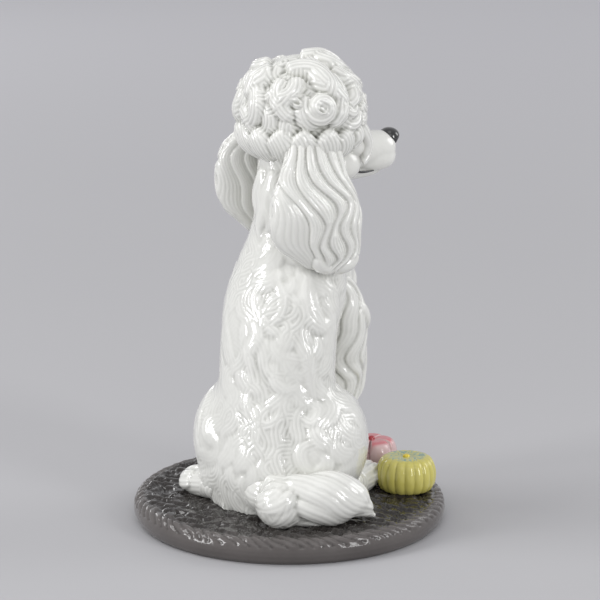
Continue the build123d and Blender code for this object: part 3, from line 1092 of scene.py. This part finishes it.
def toes(tips, back, radius):
    """Rounded toes from a shared knuckle to each tip."""
    parts = []
    for tip in tips:
        x, y, z = [0.45 * b + 0.55 * t for b, t in zip(back, tip)]
        end = [t + 0.16 * (t - b) for b, t in zip(back, tip)]
        toe = [
            (*back, radius, radius),
            (x, y, z + 1, radius * 1.15, radius * 1.15),
            (*tip, radius, radius * 0.9),
            (*end[:2], tip[2] - 0.6, radius * 0.4, radius * 0.4),
        ]
        parts.append(skin(Bulk(toe, level=False).rings(24, 24)))
    return parts


def paw_parts(side):
    tips = [(side * (15 + dx), y, 23.5) for dx, y in TOE_TIPS]
    mitt = skin(Dome((side * 15, -43, 25), (11.5, 13, 11)).rings())
    return [mitt, *toes(tips, (side * 15, -42, 25), TOE_RADIUS)]


print("parts of a forepaw:", len(paw_parts(1)))

# %% [markdown]
# ## The forelegs
# The forelegs are columns hung with long wavy locks. The column's own skin is pushed in and out for the
# locks that lie flat, as on the ears, and a few loose locks are laid over them so that tips stand off.
# %% Feathered forelegs on their paws
LEG = [
    # x for the left leg, y, z, half width, half depth
    (23, -22, 176, 8, 8),
    (27, -31, 146, 14, 14),
    (26, -36, 111, 13, 13),
    (21, -36, 79, 12, 12),
    (17, -35, 47, 11, 11),
    (15, -34, 16, 11, 11),
]
LOOSE_LOCKS = ((-60, 0.10, 50), (-100, 0.22, 56), (180, 0.16, 52), (-140, 0.34, 46), (-30, 0.36, 44))
LEG_LOCKS, LEG_STRANDS, TIERS = 7, 4, 4.6  # locks round the leg, strands in each, locks along it
LOCK_RELIEF, STRAND_RELIEF = 3.2, 0.7


def feathered(form, seed, rings=230, around=220):
    """A column hung with wavy locks in tiers, each tier's tips standing off the next."""
    turn, reach = np.meshgrid(np.arange(around) * 360 / around, np.linspace(0, 1, rings))
    point, out = facing(form, turn, np.clip(reach, 0.005, 0.995))
    lift = np.zeros(turn.shape)
    for i, r in enumerate(reach[:, 0]):
        swing = 30 * math.sin(2 * math.pi * (2.3 * r + 0.1 * seed))
        swing = swing + 12 * math.sin(2 * math.pi * (5.1 * r + 0.3 * seed))
        q = ((turn[i] + swing) / 360 * LEG_LOCKS) % LEG_LOCKS
        k = q.astype(int)
        f = q - k
        tier = (r * TIERS + 0.37 * k * (1 + seed % 2)) % 1.0
        body_of_lock = np.sin(math.pi * np.clip(f, 0, 1) ** 0.62) ** 0.6
        comb = 1 - np.abs(np.sin(math.pi * LEG_STRANDS * f)) ** 0.7
        stand_off = 0.75 + 0.3 * tier**1.5 * (1 - tier**10)
        lift[i] = LOCK_RELIEF * body_of_lock * stand_off * min(1.0, r / 0.05) - STRAND_RELIEF * comb
    return skin(point + out * lift[..., None])


for name, side in (("left", 1), ("right", -1)):
    leg = Bulk([(side * x, y, z, a, b) for x, y, z, a, b in LEG])
    leg_parts = [feathered(leg, seed=3 if side > 0 else 4)]
    for k, (turn, start, length) in enumerate(LOOSE_LOCKS):
        turn = turn if side < 0 else 180 - turn
        path = stroke(leg, turn, start, 20, length, (-1) ** k * 60)
        path = [(u, min(v, 0.94)) for u, v in path]
        leg_parts.append(lock(leg, path, 6.5, 5.5, lift=(0.5, 3.0), tip=0.12))
    front = fuse(f"{name}_feathered_foreleg", leg_parts, voxel=0.75, soften=2)
    laid.clear()  # the legs have their comb marks already
    place_piece(f"{name}_feathered_foreleg", front, white_glaze, "white_glaze", f"{name}_foreleg")
    paw = fuse(f"{name}_front_paw", paw_parts(side), voxel=0.6, soften=3)
    place_piece(f"{name}_front_paw", paw, white_glaze, "white_glaze", f"{name}_forepaw")

# %% [markdown]
# ## The hind feet
# The hind feet stick out from under the haunches, the left one to the side and the right one forwards.
# Their hair is short, so small locks fan over the end of each foot and others cross its root.
# %% Hind feet
HIND = {
    # x, y, z, half width, half height
    "left": [
        (24, 39, 30, 13, 12), (39, 35, 28, 14, 11.5), (52, 31.5, 26.5, 13.5, 10.5),
        (62, 28.5, 25, 11, 8.5), (69.5, 26.5, 24, 5, 5),
    ],
    "right": [
        (-40, 12, 29, 11, 12), (-43, -6, 27, 12, 11.5), (-45, -22, 26.5, 12, 10.5),
        (-46, -35, 25.5, 10, 8.5), (-46.5, -43.5, 24, 4, 4),
    ],
}
for name, rows in HIND.items():
    foot = Bulk(rows, level=False)
    foot_parts = [skin(foot.rings())]
    for k, turn in enumerate((10, 50, 90, 130, 170)):
        foot_parts.append(lock(foot, [(turn, 0.50), (turn + 4, 0.72), (turn, 0.93)], 4.6, 3.0))
        foot_parts.append(lock(foot, stroke(foot, turn, 0.12, 10, 16, (-1) ** k * 120), 4.5, 2.0))
    hind = fuse(f"{name}_hind_mitt", foot_parts, voxel=0.6, soften=5)
    comb_along(hind, spacing=3.4, depth=0.22)
    place_piece(f"{name}_hind_mitt", hind, white_glaze, "white_glaze", f"{name}_hind_foot")

# %% [markdown]
# ## The tail
# The tail lies round the dog's right: a round tuft of short curls first, then a plume of long locks that
# wind a little round it and sweep to a point. The glaze runs thick over it, so it is softened well and its
# comb marks are wide and shallow.
# %% Tail
TUFT = Dome((-27, 70, 33.5), (15, 15, 15.5))
PLUME = Bulk([
    # x, y, z, half width, half height
    (-14, 60, 35, 12, 15),
    (-30, 64, 34.5, 13, 16),
    (-45, 61, 35, 13.5, 16),
    (-58, 53, 35.5, 13, 16),
    (-68, 46, 33.5, 9.5, 11.5),
    (-73.5, 41, 28.5, 4.4, 5.4),
    (-77.5, 37.5, 24, 2.3, 2.8),
    (-81, 34, 20.5, 1.3, 1.5),
], level=False)
TUFT_LOCKS = (
    # bearing, height, heading, length, bend
    (20, 55, 200, 36, 95),
    (-15, 40, 170, 34, 90),
    (35, 10, 190, 30, 80),
    (-20, -5, 150, 30, 70),
    (-60, 30, 150, 32, 90),
    (70, 45, 215, 34, 60),
    (60, 5, 200, 26, 60),
    (110, 20, 180, 26, 60),
    (-100, 10, 160, 26, 80),
    (10, -30, 130, 26, 50),
)
PLUME_LOCKS = 7

tail_parts = [skin(Dome((-10, 55, 33), (17, 16, 15)).rings()), skin(TUFT.rings()), skin(PLUME.rings())]
for k in range(PLUME_LOCKS):
    turn, sway = 360 / PLUME_LOCKS * k, 30 * (-1) ** k
    path = []
    for reach in np.linspace(0.12, 0.93, 14):
        path.append((turn + 46 * math.sin(2 * math.pi * (1.05 * reach + 0.1)) + 0.3 * sway, reach))
    tail_parts.append(lock(PLUME, path, 8.0, 4.2, rings=60, root=0.5, tip=0.25))
for bearing, high, heading, length, bend in TUFT_LOCKS:
    path = stroke(TUFT, bearing, high, heading, length, bend)
    tail_parts.append(lock(TUFT, path, 7.0, 3.6, lift=(0, 1.0), root=0.6, tip=0.35))
tail = fuse("tail_plume", tail_parts, voxel=0.7, soften=4)
comb_along(tail, spacing=4.2, depth=0.22)
place_piece("tail_plume", tail, white_glaze, "white_glaze", "tail")

# %% [markdown]
# ## The plinth
# The plinth is a thick disc with a shaggy top, like deep carpet, and a smooth rolled edge nicked with
# slanted tool marks. Its skin is turned from one outline, as on a potter's wheel.
# %% Turn the plinth
OUTLINE = [
    # radius, height
    (5, 18),
    (5, 9),
    (97, 9),
    (97, 0),
    (106, 0),
    (108.6, 3),
    (109.9, 7),
    (110, 10),
    (109, 14),
    (106.6, 16.9),
    (103.5, 18),
    (5, 18),
]


def turned(outline, around, step):
    """Rings of a closed outline of (radius, height) turned about the upright axis."""
    outline = np.array(outline, float)
    fine = [outline[:1]]
    for a, b in zip(outline[:-1], outline[1:]):
        count = max(1, round(float(np.hypot(*(b - a))) / step))
        fine.append(a + (b - a) * (np.arange(1, count + 1) / count)[:, None])
    fine = np.vstack(fine)
    a = np.arange(around) * 2 * math.pi / around
    return np.stack([fine[:, :1] * np.cos(a), fine[:, :1] * np.sin(a), fine[:, 1:] + 0 * a], -1)


rings = turned(OUTLINE, around=620, step=1.1)
n, m = rings.shape[:2]
verts = rings[:-1].reshape(-1, 3)
i, j = np.arange(n - 1)[:, None] * m, np.arange(m)[None]
after = ((np.arange(n - 1) + 1) % (n - 1))[:, None] * m
faces = np.stack([x.ravel() for x in (i + j, i + (j + 1) % m, after + (j + 1) % m, after + j)], -1)
plinth = as_mesh("shaggy_plinth", verts, faces)
print("plinth:", len(faces), "faces")

# %% [markdown]
# ## Carpet and nicks
# The relief is worked out for every point at once. The carpet is a wavy grain with random lumps, a groove
# parts it from the rolled edge, and the nicks are narrow dips that repeat round the edge. Points on the
# top move up and down, and points on the side move in and out. The carpet's glaze is darker than the
# edge's, so the carpet also counts as a hollow.
# %% Press the relief in and place the plinth
CARPET_RADIUS = 102.5
HIGHEST_LUMP = 0.9
NICK_GAP, NICK_DEPTH = 9.0, 1.3
CARPET_SHADE = 0.85

radius, angle = np.hypot(verts[:, 0], verts[:, 1]), np.arctan2(verts[:, 1], verts[:, 0])
up = np.clip((verts[:, 2] - 15.5) / 2.0, 0, 1)
carpet = up * np.clip((CARPET_RADIUS - radius) / 3.0, 0, 1)
grain = verts @ np.array([0.9, 0.5, 0]) + 7 * slow_waves(verts, 22, 31) + 4 * slow_waves(verts, 11, 32)
shag = 0.45 * np.sin(2 * math.pi * grain / 5.5)
shag = shag + 0.9 * slow_waves(verts, 9.0, 33) + 0.45 * slow_waves(verts, 5.0, 34)
edge = np.clip((verts[:, 2] - 9) / 4, 0, 1) * np.clip((radius - 102.0) / 1.5, 0, 1)
slant = angle * PLINTH_RADIUS / NICK_GAP - (radius - 103 - verts[:, 2]) / NICK_GAP
slant = slant + 0.35 * slow_waves(verts, 30, 35)
nick = (0.5 + 0.5 * np.cos(2 * math.pi * slant)) ** 6
border = np.exp(-(((radius - 102.3) / 0.9) ** 2)) * up
relief = carpet * np.clip(shag, -1.8, HIGHEST_LUMP) * 1.4 - NICK_DEPTH * edge * nick
relief = relief + edge * 0.3 * slow_waves(verts, 9, 36) - 0.8 * border
relief = np.minimum(np.where(verts[:, 2] > 12, relief, 0), HIGHEST_LUMP)
outward = np.stack([verts[:, 0], verts[:, 1], 0 * angle], -1) / np.maximum(radius, 1)[:, None]
lean = np.clip((radius - 103.5) / 6.5, 0, 1)[:, None]
push = unit(outward * lean + np.array([0, 0, 1.0]) * (1 - lean))
put_points(plinth, verts + push * relief[:, None])
face_outwards(plinth)
piece = place_piece("shaggy_plinth", plinth, dark_glaze, "dark_glaze", "plinth")
hollow = np.empty(len(verts))
piece.data.attributes["hollow"].data.foreach_get("value", hollow)
hollow = np.clip(hollow + CARPET_SHADE * carpet, 0, 1)
piece.data.attributes["hollow"].data.foreach_set("value", hollow)

# %% [markdown]
# ## The sweets
# Both sweets copy bean-paste confectionery. The yellow one is pressed into flutes, with the petals of a
# chrysanthemum painted round a bead. The petals are strokes of thin paint with soft ends, so they are
# drawn by the material: the angle round the sweet makes the stripes and the distance from its middle
# ends them, both shaken by noise, as a brush would.
# %% Painted chrysanthemum glaze
YELLOW_PLACE = (-73.7, -37.7, PLINTH_TOP)
PETALS = 18.0


def about_axis(tree, place):
    """Angle round an upright axis, distance from it, height and place, as sockets."""
    coords = tree.nodes.new("ShaderNodeTexCoord")
    split = tree.nodes.new("ShaderNodeSeparateXYZ")
    tree.links.new(coords.outputs["Object"], split.inputs[0])
    x = math_node(tree, "SUBTRACT", split.outputs[0], place[0] * MM)
    y = math_node(tree, "SUBTRACT", split.outputs[1], place[1] * MM)
    angle = math_node(tree, "ARCTAN2", y, x)
    squares = math_node(tree, "MULTIPLY", x, x), math_node(tree, "MULTIPLY", y, y)
    distance = math_node(tree, "SQRT", math_node(tree, "ADD", *squares))
    return angle, distance, split.outputs[2], coords.outputs["Object"]


def step_between(tree, value, low, high):
    """0 below low, 1 above high and a soft step between."""
    node = tree.nodes.new("ShaderNodeMapRange")
    node.interpolation_type = "SMOOTHSTEP"
    for name, number in (("From Min", low), ("From Max", high)):
        node.inputs[name].default_value = number
    tree.links.new(value, node.inputs["Value"])
    return node.outputs["Result"]


# The pooled colour darkens the flutes: partly pooling and partly painted shade.
yellow_thin, yellow_pooled_and_shaded = (0.64, 0.58, 0.15), (0.34, 0.30, 0.05)
yellow_glaze = glazed(
    "yellow green glaze", yellow_thin, yellow_pooled_and_shaded, drift=0.2, coat=0.4, coat_roughness=0.15
)
tree = yellow_glaze.node_tree
angle, distance, _, coords = about_axis(tree, YELLOW_PLACE)
wobble = math_node(tree, "MULTIPLY_ADD", noise_node(tree, coords, 160.0), 1.6, angle)
petal = math_node(tree, "COSINE", math_node(tree, "MULTIPLY", wobble, PETALS))
reach = math_node(tree, "MULTIPLY_ADD", noise_node(tree, coords, 90.0), 0.008, distance)
inside = math_node(tree, "SUBTRACT", 1.0, step_between(tree, reach, 0.0150, 0.0185))
mint = math_node(tree, "MULTIPLY", inside, step_between(tree, petal, -0.55, 0.35))
teal = math_node(tree, "MULTIPLY", inside, step_between(tree, petal, 0.45, 0.95))
base = tree.nodes["Principled BSDF"].inputs["Base Color"]
ground = base.links[0].from_socket
minted = mix_colour(tree, math_node(tree, "MULTIPLY", mint, 0.75), ground, (0.36, 0.50, 0.36))
tree.links.new(mix_colour(tree, math_node(tree, "MULTIPLY", teal, 0.8), minted, (0.06, 0.20, 0.20)), base)
print("painted petals:", len(tree.nodes), "nodes")

# %% [markdown]
# ## The yellow sweet
# A sweet is one side line spun round its axis, like the plinth, but its radius changes with the angle.
# Each flute is a narrow dip of that radius, which fades out towards the middle of the top and the foot.
# %% Yellow sweet
SIDE = [
    # radius and height, as shares of the sweet's own
    (0.02, 0.0),
    (0.72, 0.0),
    (0.93, 0.14),
    (1.0, 0.42),
    (0.97, 0.68),
    (0.86, 0.90),
    (0.68, 0.99),
    (0.42, 1.0),
    (0.18, 0.985),
    (0.02, 0.97),
]


def sweet_rings(radius_at, height, around=240, count=90):
    """Rings of a sweet of radius 1, where radius_at(angle) is its fullest radius round the axis."""
    a = np.arange(around) * 2 * math.pi / around
    r, z = through(SIDE, np.linspace(0, 1, count)).T
    fluted = np.clip(r / 0.5, 0, 1)[:, None]
    full = 1 + fluted * (radius_at(a)[None] - 1)
    wide = r[:, None] * full
    return np.stack([wide * np.cos(a), wide * np.sin(a), z[:, None] * height + 0 * a], -1)


def sweet_mesh(name, rings, radius, place):
    verts, faces = skin(rings * [radius, radius, 1] + np.array(place, float))
    mesh = as_mesh(name, verts, faces)
    face_outwards(mesh)
    return mesh


def fluted_radius(a):
    return 1 - 0.055 * (1 - np.abs(np.cos(9 * a)) ** 0.7)


rings = sweet_rings(fluted_radius, height=24.4)
yellow = sweet_mesh("chrysanthemum_sweet", rings, 21.2, YELLOW_PLACE)
place_piece("chrysanthemum_sweet", yellow, yellow_glaze, "yellow_glaze", "yellow_sweet")
bead = Dome((YELLOW_PLACE[0], YELLOW_PLACE[1], PLINTH_TOP + 24.0), (2.7, 2.7, 1.7))
bead_mesh = fuse("yellow_bead", [skin(bead.rings())], voxel=0.3)
place_piece("yellow_bead", bead_mesh, button_glaze, "button_glaze", "yellow_sweet_button")

# %% [markdown]
# ## The pink sweet
# The pink sweet is five plump petals round a red heart. Cosine of two and a half times the angle has five
# zeros round the circle, and there the radius and the top both dip, which parts the petals. The glaze is
# deep pink on top, and pale on the side, along the rim and in the slits.
# %% Pink sweet
PINK_PLACE = (-31.0, -74.0, PLINTH_TOP)
HALF_PETALS = 2.5

pink_glaze = glazed(
    "pink glaze", (0.66, 0.20, 0.22), (0.40, 0.08, 0.10), drift=0.3, coat=0.5, coat_roughness=0.12
)
tree = pink_glaze.node_tree
angle, distance, high, _ = about_axis(tree, PINK_PLACE)
petal = math_node(tree, "COSINE", math_node(tree, "MULTIPLY", angle, HALF_PETALS))
petal = math_node(tree, "ABSOLUTE", petal)
side_mask = math_node(tree, "SUBTRACT", 1.0, step_between(tree, high, 0.0345, 0.0385))
rim_mask = step_between(tree, distance, 0.0135, 0.0165)
slit_mask = math_node(tree, "SUBTRACT", 1.0, step_between(tree, petal, 0.22, 0.42))
pale = math_node(tree, "MAXIMUM", math_node(tree, "MAXIMUM", side_mask, rim_mask), slit_mask)
pale = math_node(tree, "MULTIPLY", pale, 0.9)
base = tree.nodes["Principled BSDF"].inputs["Base Color"]
tree.links.new(mix_colour(tree, pale, base.links[0].from_socket, (0.66, 0.50, 0.50)), base)


def petal_radius(a):
    return 0.70 + 0.30 * np.abs(np.cos(HALF_PETALS * a)) ** 0.45


rings = sweet_rings(petal_radius, height=22.0, around=300)
fold = np.clip(np.hypot(rings[..., 0], rings[..., 1]) / 0.5, 0, 1)
turn = np.arctan2(rings[..., 1], rings[..., 0])
slit = 4.5 * np.exp(-((np.cos(HALF_PETALS * turn) / 0.16) ** 2)) * fold
rings[..., 2] -= np.where(rings[..., 2] > 15, slit, 0)
pink = sweet_mesh("blossom_sweet", rings, 19.3, PINK_PLACE)
place_piece("blossom_sweet", pink, pink_glaze, "pink_glaze", "pink_sweet_petals")
heart = Dome((PINK_PLACE[0], PINK_PLACE[1], PLINTH_TOP + 21.5), (2.8, 2.8, 2.4))
heart_mesh = fuse("red_heart", [skin(heart.rings())], voxel=0.3)
place_piece("red_heart", heart_mesh, red_glaze, "red_glaze", "pink_sweet_core")

# %% [markdown]
# ## The floor
# A pale floor runs far back, so that from the camera's height no horizon cuts behind the figure. It grows
# paler with distance, which makes up for the lamps standing close round the figure, and keeps the
# background even.
# %% Floor
FLOOR_RADIUS = 30000
FLOOR_SIDES = 96
NEAR_A, NEAR_B, FAR = (0.465, 0.463, 0.478), (0.481, 0.479, 0.492), (0.680, 0.677, 0.705)

floor_material = bpy.data.materials.new("pale studio floor")
floor_material.use_nodes = True
tree = floor_material.node_tree
coords = tree.nodes.new("ShaderNodeTexCoord").outputs["Object"]
mottle = mix_colour(tree, noise_node(tree, coords, 1.5, 3.0), NEAR_A, NEAR_B)
span = tree.nodes.new("ShaderNodeVectorMath")
span.operation = "LENGTH"
tree.links.new(coords, span.inputs[0])
far_off = step_between(tree, span.outputs["Value"], 0.4, 3.6)
mottle = mix_colour(tree, far_off, mottle, FAR)
floor_shader = tree.nodes["Principled BSDF"]
tree.links.new(mottle, floor_shader.inputs["Base Color"])
floor_shader.inputs["Roughness"].default_value = 0.85
floor_shader.inputs["Specular IOR Level"].default_value = 0.1
a = np.arange(FLOOR_SIDES) * 2 * math.pi / FLOOR_SIDES
ring = np.stack([FLOOR_RADIUS * np.cos(a), FLOOR_RADIUS * np.sin(a), 0 * a], -1)
wedges = [(k, (k + 1) % FLOOR_SIDES, FLOOR_SIDES) for k in range(FLOOR_SIDES)]
floor_mesh = as_mesh("studio_floor", np.vstack([ring, [[0, 0, 0]]]), wedges)
floor_mesh.materials.append(floor_material)
floor = bpy.data.objects.new("studio_floor", floor_mesh)
bpy.context.scene.collection.objects.link(floor)
print("floor:", len(floor_mesh.polygons), "wedges")

# %% [markdown]
# ## Lamps
# Soft lamps stand round the figure, as in a studio. Glossy glaze shows each as a bright shape, so their
# size and place draw the form: a tall window on the left and a tall strip on the right run down the back
# as broken streaks, and the others only fill.
# %% Lamps and surroundings
LAMPS = [
    # name, azimuth round the figure, elevation, distance, width, height, watts
    ("window_left", 140, 15, 3.0, 0.62, 1.35, 33),
    ("strip_right", 252, 16, 3.0, 0.6, 1.45, 25),
    ("behind_camera", 205, 40, 3.6, 2.6, 1.4, 11),
    ("overhead", 205, 80, 3.0, 1.6, 1.6, 6),
    ("far_right", 310, 26, 3.2, 1.2, 1.6, 18),
    ("high_left", 112, 48, 3.2, 1.0, 1.2, 22),
    ("low_behind", 52, 16, 3.2, 0.6, 0.4, 3),
]
LAMP_TARGET = Vector((0, 0, 0.15))

for name, azimuth, elevation, distance, width, height, watts in LAMPS:
    lamp = bpy.data.lights.new(name, "AREA")
    lamp.shape, lamp.size, lamp.size_y, lamp.energy = "RECTANGLE", width, height, watts
    holder = bpy.data.objects.new(name, lamp)
    a, e = math.radians(azimuth), math.radians(elevation)
    away = Vector((math.sin(a) * math.cos(e), -math.cos(a) * math.cos(e), math.sin(e)))
    holder.location = LAMP_TARGET + away * distance
    holder.rotation_euler = away.to_track_quat("Z", "Y").to_euler()
    bpy.context.scene.collection.objects.link(holder)
world = bpy.data.worlds.new("studio air")
bpy.context.scene.world = world
world.use_nodes = True
air = world.node_tree.nodes["Background"]
air.inputs["Color"].default_value = (0.80, 0.80, 0.82, 1)
air.inputs["Strength"].default_value = 0.68
bpy.context.scene.view_settings.view_transform = "Standard"
print("lamps:", len(LAMPS))

# %% [markdown]
# ## The camera
# The camera stands 1.7 metres off, behind the dog's right shoulder, and looks down a little. A long lens
# from that far away keeps the proportions calm.
# %% Camera
TARGET = Vector((-0.00684, -0.00319, 0.1563))
TOWARDS_CAMERA = Vector((-0.4107, 0.8808, 0.2357))
CAMERA_DISTANCE = 1.70

camera = bpy.data.cameras.new("studio_camera")
camera.lens, camera.sensor_width, camera.clip_end = 146.8, 36.0, 100.0
viewpoint = bpy.data.objects.new("studio_camera", camera)
viewpoint.location = TARGET + CAMERA_DISTANCE * TOWARDS_CAMERA
viewpoint.rotation_euler = TOWARDS_CAMERA.to_track_quat("Z", "Y").to_euler()
bpy.context.scene.collection.objects.link(viewpoint)
bpy.context.scene.camera = viewpoint
print("camera", [round(c, 3) for c in viewpoint.location])
